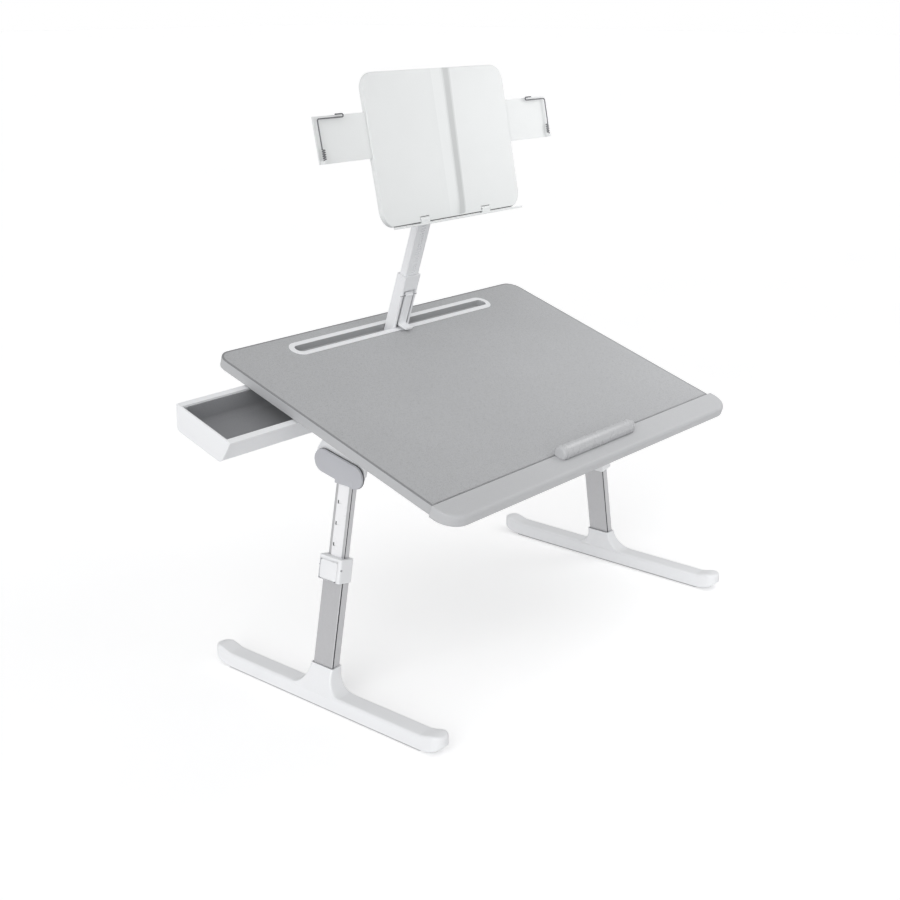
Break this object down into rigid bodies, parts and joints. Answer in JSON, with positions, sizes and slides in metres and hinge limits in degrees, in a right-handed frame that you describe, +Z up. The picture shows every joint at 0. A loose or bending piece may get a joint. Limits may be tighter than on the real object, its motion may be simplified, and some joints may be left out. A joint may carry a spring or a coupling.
{
  "type": "folding laptop table",
  "caption": "Lap and bed table on two folding, tilting, telescoping legs, with a side drawer, a device slot, a stopper bar and a plug-in book stand with page clips.",
  "frame": {"origin": "on the floor, under the middle of the object's bounding box as it stands open", "axes": "+X is the user's right, +Y points away from the user towards the book stand, +Z is up"},
  "size_m": [0.766, 0.4202, 0.7906],
  "materials": {
    "leather_grey": "fine pebble grain, satin",
    "lip_plastic": "soft satin",
    "grey_plastic": "satin",
    "white_plastic": "satin",
    "liner_grey": "matte",
    "hinge_grey": "satin",
    "tube_metal": "fine anodised satin",
    "steel": "zinc plated",
    "grey_rubber": "matte",
    "clip_wire": "dark coated wire",
    "core_board": "fibreboard with a light grey laminate"
  },
  "bodies": {
    "table": {"top_board": "core_board", "leather_top": "leather_grey", "edge_band": "grey_plastic", "front_lip": "lip_plastic", "slot_tray": "white_plastic", "drawer_rail_front": "white_plastic", "drawer_rail_back": "white_plastic", "underside_screws": "steel", "hinge_base_left": "white_plastic", "hinge_base_right": "white_plastic", "fold_pin_left": "steel", "fold_pin_right": "steel"},
    "stopper": {"stopper_bar": "lip_plastic"},
    "drawer": {"drawer": "white_plastic", "drawer_liner": "liner_grey"},
    "arm_left": {"fold_arm_left": "white_plastic", "tilt_pin_left": "steel", "tilt_fasteners_left": "steel"},
    "leg_left": {"leg_head_left": "white_plastic", "head_cover_left": "hinge_grey", "inner_tube_left": "tube_metal", "detent_strip_left": "white_plastic", "tube_guide_left": "white_plastic"},
    "foot_left": {"outer_tube_left": "tube_metal", "lock_sleeve_left": "white_plastic", "latch_pin_left": "steel", "foot_left": "white_plastic", "foot_rubber_left": "grey_rubber"},
    "latch_left": {"flip_latch_left": "white_plastic"},
    "arm_right": {"fold_arm_right": "white_plastic", "tilt_pin_right": "steel", "tilt_fasteners_right": "steel"},
    "leg_right": {"leg_head_right": "white_plastic", "head_cover_right": "hinge_grey", "inner_tube_right": "tube_metal", "detent_strip_right": "white_plastic", "tube_guide_right": "white_plastic"},
    "foot_right": {"outer_tube_right": "tube_metal", "lock_sleeve_right": "white_plastic", "latch_pin_right": "steel", "foot_right": "white_plastic", "foot_rubber_right": "grey_rubber"},
    "latch_right": {"flip_latch_right": "white_plastic"},
    "stand_post_group": {"stand_post": "white_plastic", "post_pin": "steel", "lever_pin": "steel"},
    "lever": {"stand_lever": "white_plastic"},
    "stand_rod": {"inner_post": "white_plastic"},
    "board": {"board_front": "white_plastic", "board_back": "white_plastic", "board_bracket": "white_plastic", "board_pin": "steel", "ledge_pins": "steel"},
    "ledge": {"page_ledge": "white_plastic"},
    "wing_left": {"wing_left": "white_plastic"},
    "clip_left": {"page_clip_left": "clip_wire"},
    "wing_right": {"wing_right": "white_plastic"},
    "clip_right": {"page_clip_right": "clip_wire"}
  },
  "joints": [
    {"name": "drawer_slide", "type": "slide", "parent": "table", "child": "drawer", "axis": [1, 0, 0], "range_m": [-0.02, 0.112]},
    {"name": "stopper_lift", "type": "slide", "parent": "table", "child": "stopper", "axis": [0, -0.309, 0.9511], "range_m": [0, 0.03]},
    {"name": "left_fold", "type": "hinge", "parent": "table", "child": "arm_left", "pos_m": [-0.20996, 0.00994, 0.34886], "axis": [0, -0.9511, -0.309], "range_deg": [0, 91]},
    {"name": "right_fold", "type": "hinge", "parent": "table", "child": "arm_right", "pos_m": [0.29404, 0.00994, 0.34886], "axis": [0, 0.9511, 0.309], "range_deg": [0, 84]},
    {"name": "left_tilt", "type": "hinge", "parent": "arm_left", "child": "leg_left", "pos_m": [-0.23146, 0.02354, 0.30701], "axis": [1, 0, 0], "range_deg": [-18, 18]},
    {"name": "right_tilt", "type": "hinge", "parent": "arm_right", "child": "leg_right", "pos_m": [0.31554, 0.02354, 0.30701], "axis": [1, 0, 0], "range_deg": [-18, 18]},
    {"name": "left_height", "type": "slide", "parent": "leg_left", "child": "foot_left", "axis": [0.1908, 0, 0.9816], "range_m": [0, 0.084]},
    {"name": "right_height", "type": "slide", "parent": "leg_right", "child": "foot_right", "axis": [-0.1908, 0, 0.9816], "range_m": [0, 0.084]},
    {"name": "left_latch", "type": "hinge", "parent": "foot_left", "child": "latch_left", "pos_m": [-0.26207, 0.01014, 0.18322], "axis": [0, 1, 0], "range_deg": [0, 20], "stiffness_Nm_per_rad": 0.05},
    {"name": "right_latch", "type": "hinge", "parent": "foot_right", "child": "latch_right", "pos_m": [0.34614, 0.01014, 0.18322], "axis": [0, -1, 0], "range_deg": [0, 20], "stiffness_Nm_per_rad": 0.05},
    {"name": "stand_lift", "type": "slide", "parent": "table", "child": "stand_post_group", "axis": [0, -0.309, 0.9511], "range_m": [0, 0.06]},
    {"name": "stand_height", "type": "slide", "parent": "stand_post_group", "child": "stand_rod", "axis": [0, -0.309, 0.9511], "range_m": [-0.055, 0]},
    {"name": "stand_lever_press", "type": "hinge", "parent": "stand_post_group", "child": "lever", "pos_m": [0.04204, 0.14404, 0.47286], "axis": [1, 0, 0], "range_deg": [0, 4], "stiffness_Nm_per_rad": 0.3, "springref_deg": -5.73},
    {"name": "board_tilt", "type": "hinge", "parent": "stand_rod", "child": "board", "pos_m": [0.04204, 0.08721, 0.6751], "axis": [-1, 0, 0], "range_deg": [-28, 30]},
    {"name": "ledge_fold", "type": "hinge", "parent": "board", "child": "ledge", "pos_m": [0.04204, 0.05674, 0.59826], "axis": [-1, 0, 0], "range_deg": [0, 90]},
    {"name": "left_wing_slide", "type": "slide", "parent": "board", "child": "wing_left", "axis": [1, 0, 0], "range_m": [0, 0.084]},
    {"name": "right_wing_slide", "type": "slide", "parent": "board", "child": "wing_right", "axis": [-1, 0, 0], "range_m": [0, 0.084]},
    {"name": "left_clip_open", "type": "hinge", "parent": "wing_left", "child": "clip_left", "pos_m": [-0.19246, 0.07098, 0.68405], "axis": [0, -0.2011, -0.9796], "range_deg": [0, 70], "stiffness_Nm_per_rad": 0.01, "springref_deg": -17.19},
    {"name": "right_clip_open", "type": "hinge", "parent": "wing_right", "child": "clip_right", "pos_m": [0.27654, 0.07098, 0.68405], "axis": [0, 0.2011, 0.9796], "range_deg": [0, 70], "stiffness_Nm_per_rad": 0.01, "springref_deg": -17.19}
  ],
  "couplings": [
    {"joint": "right_tilt", "follows": "left_tilt", "ratio": 1}
  ]
}
